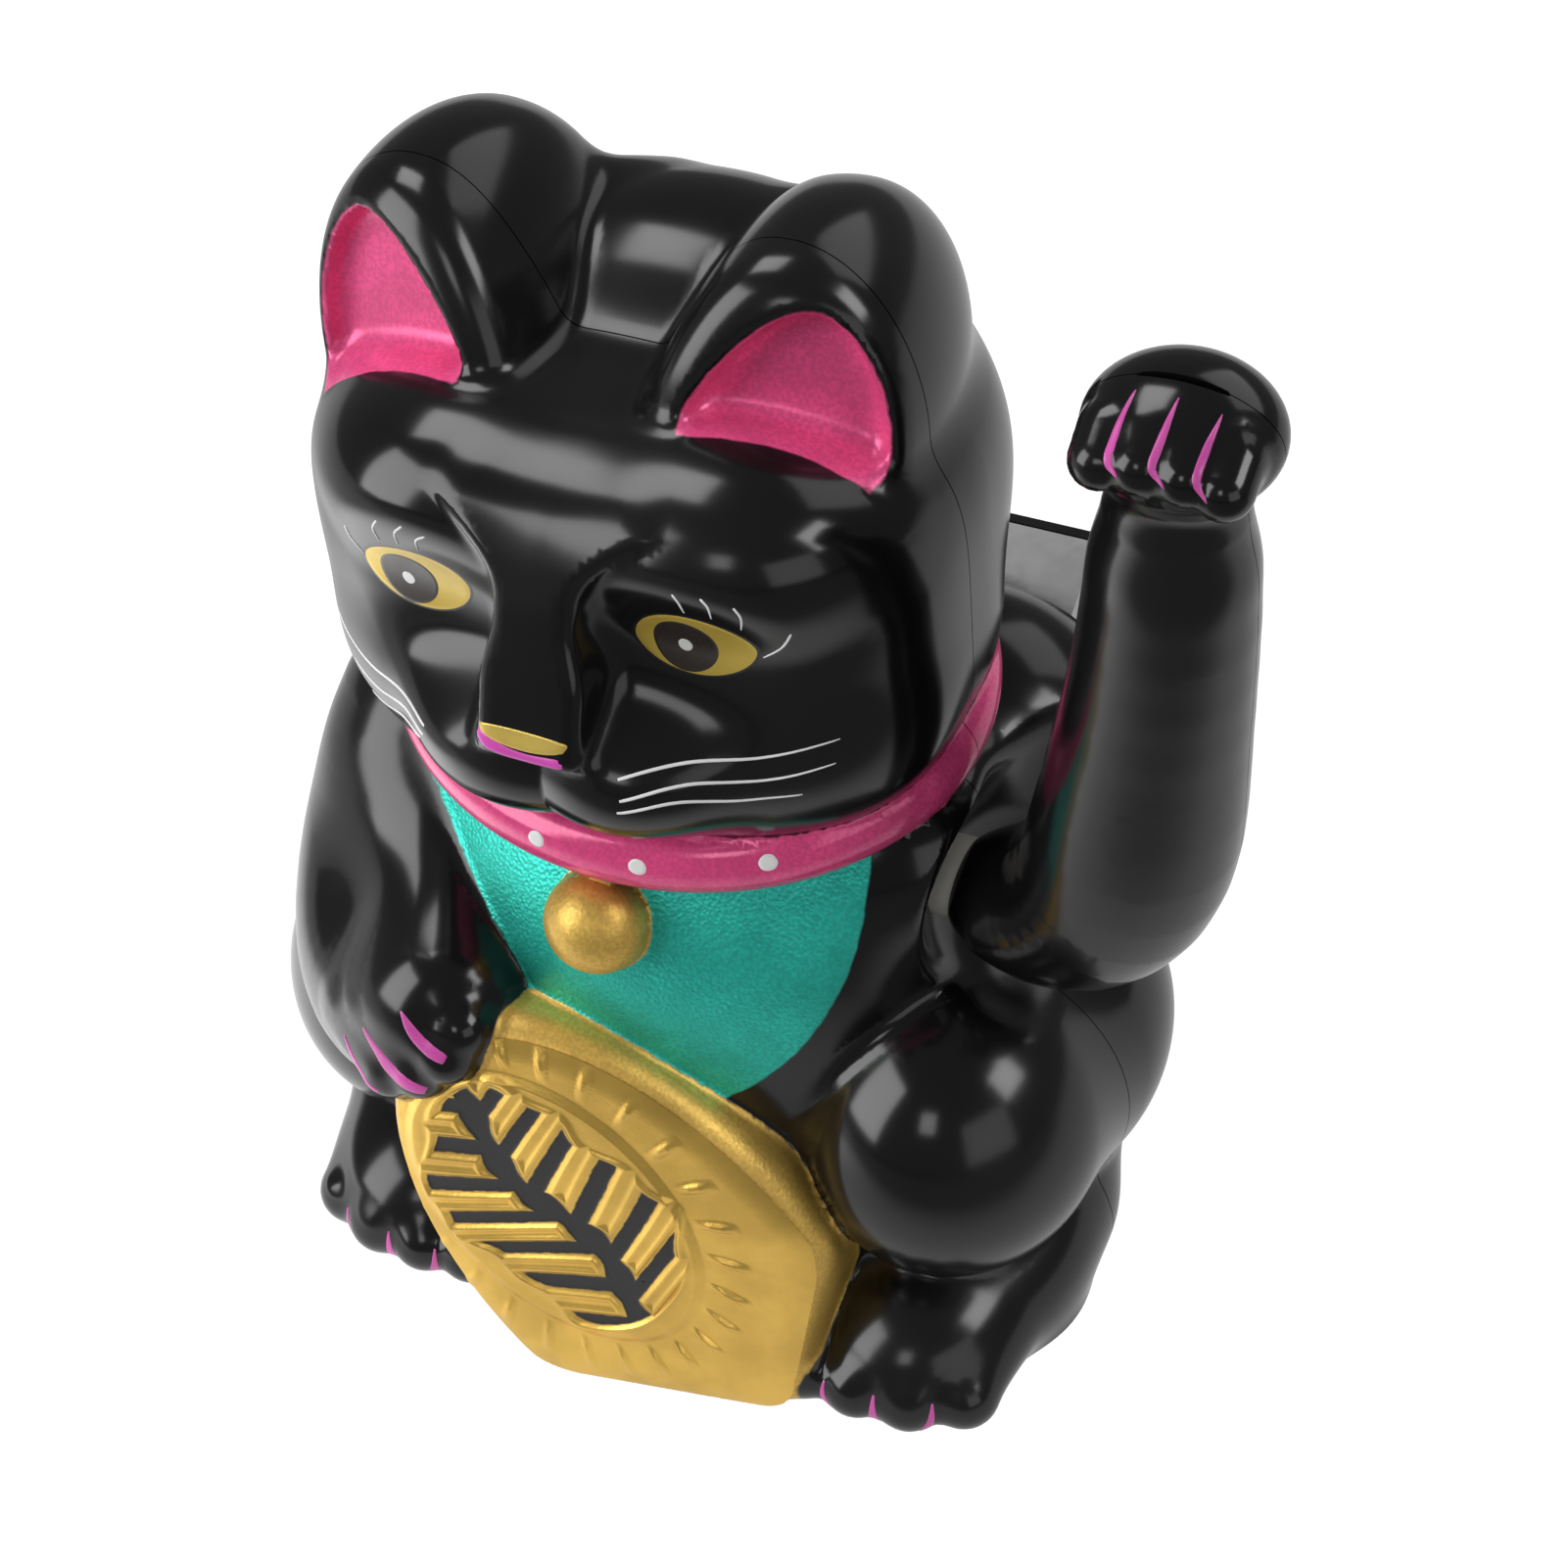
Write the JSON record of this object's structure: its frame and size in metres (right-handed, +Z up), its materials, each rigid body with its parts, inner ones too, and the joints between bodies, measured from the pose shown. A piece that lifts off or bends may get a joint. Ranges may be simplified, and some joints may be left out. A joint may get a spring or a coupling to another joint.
{
  "type": "beckoning cat figurine",
  "caption": "Seated black cat figurine with painted face, collar, bib and coin, whose raised arm rocks to and fro on a battery-driven, magnet-and-coil pendulum inside the body.",
  "frame": {"origin": "on the resting face, in the middle plane of the body, under its middle", "axes": "+Z up; the cat faces -Y; +X is the side of the raised arm"},
  "size_m": [0.1031, 0.0786, 0.1238],
  "materials": {
    "black_gloss": "gloss",
    "black_satin": "satin",
    "natural_plastic": "satin",
    "screw_steel": "satin",
    "axle_steel": "polished",
    "nickel": "satin",
    "brass": "satin",
    "board_green": "satin",
    "winding_copper": "gloss",
    "component_black": "matte",
    "component_sleeve": "gloss",
    "component_tan": "satin",
    "lead_red": "satin",
    "lead_black": "satin",
    "cell_jacket": "gloss",
    "magnet_grey": "polished",
    "weight_iron": "satin",
    "paint_pink": "gloss",
    "paint_claw": "gloss",
    "paint_teal": "satin",
    "paint_gold": "satin",
    "paint_white": "gloss"
  },
  "bodies": {
    "body": {"front_shell": "black_gloss", "rear_shell": "black_gloss", "base_plate": "black_satin", "base_screws": "screw_steel", "shell_screws": "screw_steel", "battery_box": "black_gloss", "battery_cell": "cell_jacket", "contact_plates": "nickel", "contact_spring": "nickel", "movement_frame": "natural_plastic", "frame_screws": "screw_steel", "bearing_bushes": "brass", "circuit_board": "board_green", "coil_bobbin": "natural_plastic", "coil_winding": "winding_copper", "transistor": "component_black", "capacitor": "component_sleeve", "resistor": "component_tan", "positive_lead": "lead_red", "negative_lead": "lead_black"},
    "arm": {"arm_front_half": "black_gloss", "arm_rear_half": "black_gloss", "arm_hub": "natural_plastic", "pivot_axle": "axle_steel", "axle_clips": "axle_steel", "pendulum_lever": "natural_plastic", "pendulum_magnet": "magnet_grey", "counterweight": "weight_iron"},
    "door": {"battery_door": "black_gloss"}
  },
  "joints": [
    {"name": "arm_swing", "type": "hinge", "parent": "body", "child": "arm", "pos_m": [0.003, -0.01, 0.052], "axis": [1, 0, 0], "range_deg": [-15, 15]},
    {"name": "door_slide", "type": "slide", "parent": "body", "child": "door", "axis": [0, 0, 1], "range_m": [0, 0.022]}
  ]
}
